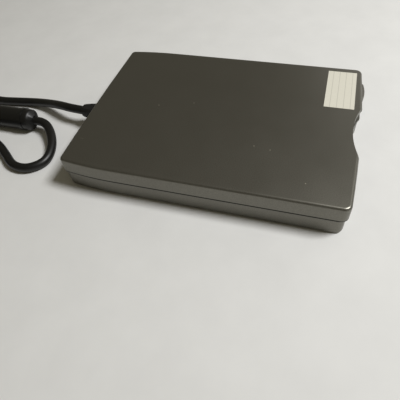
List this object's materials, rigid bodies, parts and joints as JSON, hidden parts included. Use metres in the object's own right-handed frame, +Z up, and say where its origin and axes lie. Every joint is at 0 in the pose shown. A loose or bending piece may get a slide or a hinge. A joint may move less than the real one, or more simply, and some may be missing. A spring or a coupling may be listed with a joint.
{
  "type": "external floppy disk drive",
  "caption": "Slim external floppy disk drive: flat two-part case with a finger notch and eject button at the front, a working drive mechanism inside and a cord at the rear.",
  "frame": {"origin": "on the table, under the middle of the case", "axes": "+Z up, -Y the front with the disk slot, +X to the right seen from the front"},
  "size_m": [0.152, 0.2847, 0.0183],
  "materials": {
    "dark_plastic": "satin",
    "black_rubber": "matte",
    "cord_pvc": "satin",
    "paper": "matte",
    "steel": "satin",
    "plated_steel": "bright",
    "white_plastic": "satin",
    "black_plastic": "satin",
    "clear_plastic": "clear",
    "circuit_board": "lacquered",
    "copper": "enamelled",
    "ferrite": "matte",
    "alloy": "die cast",
    "bronze": "sintered"
  },
  "bodies": {
    "case": {"board_parts": "black_plastic", "bottom_cover": "dark_plastic", "cable_socket": "white_plastic", "case_screws": "steel", "chassis": "steel", "cord_coil": "cord_pvc", "cord_lead": "cord_pvc", "cord_loop": "cord_pvc", "cord_socket": "white_plastic", "cord_tail": "cord_pvc", "ferrite_choke": "cord_pvc", "flap_spring": "steel", "flat_cable": "white_plastic", "guide_rod": "steel", "interface_board": "circuit_board", "led_lens": "clear_plastic", "mechanism_screws": "steel", "motor_board": "circuit_board", "rod_clamps": "black_plastic", "rubber_feet": "black_rubber", "screw_bearing": "black_plastic", "slider_spring_left": "steel", "slider_spring_right": "steel", "spindle_bearing": "bronze", "stator_coils": "copper", "stepper_motor": "steel", "strain_relief": "cord_pvc", "switch_housings": "black_plastic", "top_cover": "dark_plastic", "top_label": "paper", "usb_plug_grip": "cord_pvc", "usb_plug_shell": "plated_steel", "usb_plug_tongue": "white_plastic"},
    "door_flap": {"door_flap": "dark_plastic"},
    "eject_slider": {"eject_slider": "steel", "eject_button": "dark_plastic"},
    "disk_carrier": {"disk_carrier": "steel", "latch_pivot": "steel"},
    "latch_lever": {"latch_lever": "black_plastic"},
    "spindle": {"rotor_cup": "steel", "rotor_magnet": "ferrite", "spindle_shaft": "steel", "chuck_plate": "alloy"},
    "head_carriage": {"head_carriage": "alloy", "lower_head": "white_plastic"},
    "upper_arm": {"upper_arm": "alloy", "upper_head": "white_plastic"},
    "lead_screw": {"lead_screw": "steel"},
    "plunger_write_protect": {"plunger_write_protect": "white_plastic"},
    "plunger_disk_in": {"plunger_disk_in": "white_plastic"},
    "plunger_density": {"plunger_density": "white_plastic"}
  },
  "joints": [
    {"name": "door_flap_hinge", "type": "hinge", "parent": "case", "child": "door_flap", "pos_m": [0, -0.0646, 0.0155], "axis": [1, 0, 0], "range_deg": [0, 85], "stiffness_Nm_per_rad": 0.0004, "springref_deg": -11.46},
    {"name": "eject_slide", "type": "slide", "parent": "case", "child": "eject_slider", "axis": [0, -1, 0], "range_m": [0, 0.0045]},
    {"name": "carrier_drop", "type": "slide", "parent": "case", "child": "disk_carrier", "axis": [0, 0, -1], "range_m": [0, 0.002]},
    {"name": "latch_turn", "type": "hinge", "parent": "disk_carrier", "child": "latch_lever", "pos_m": [0.033, 0.0225, 0.016], "axis": [0, 0, -1], "range_deg": [0, 60.01]},
    {"name": "spindle_spin", "type": "hinge", "parent": "case", "child": "spindle", "pos_m": [0, -0.009, 0.008], "axis": [0, 0, 1], "continuous": true},
    {"name": "head_slide", "type": "slide", "parent": "case", "child": "head_carriage", "axis": [0, -1, 0], "range_m": [0, 0.015]},
    {"name": "screw_spin", "type": "hinge", "parent": "case", "child": "lead_screw", "pos_m": [0.013, 0.03, 0.0061], "axis": [0, 1, 0], "range_deg": [0, 1800.5]},
    {"name": "upper_arm_tilt", "type": "hinge", "parent": "head_carriage", "child": "upper_arm", "pos_m": [0, 0.0465, 0.0125], "axis": [1, 0, 0], "range_deg": [0, 11.01]},
    {"name": "press_write_protect", "type": "slide", "parent": "case", "child": "plunger_write_protect", "axis": [0, 0, -1], "range_m": [0, 0.0008], "stiffness_N_per_m": 60, "springref_m": -0.001},
    {"name": "press_disk_in", "type": "slide", "parent": "case", "child": "plunger_disk_in", "axis": [0, 0, -1], "range_m": [0, 0.0008], "stiffness_N_per_m": 60, "springref_m": -0.001},
    {"name": "press_density", "type": "slide", "parent": "case", "child": "plunger_density", "axis": [0, 0, -1], "range_m": [0, 0.0008], "stiffness_N_per_m": 60, "springref_m": -0.001}
  ],
  "couplings": [
    {"joint": "carrier_drop", "follows": "eject_slide", "ratio": 0.44444},
    {"joint": "latch_turn", "follows": "eject_slide", "rad_per_m": 232.71},
    {"joint": "upper_arm_tilt", "follows": "eject_slide", "rad_per_m": 42.664},
    {"joint": "screw_spin", "follows": "head_slide", "rad_per_m": 2094.4}
  ]
}
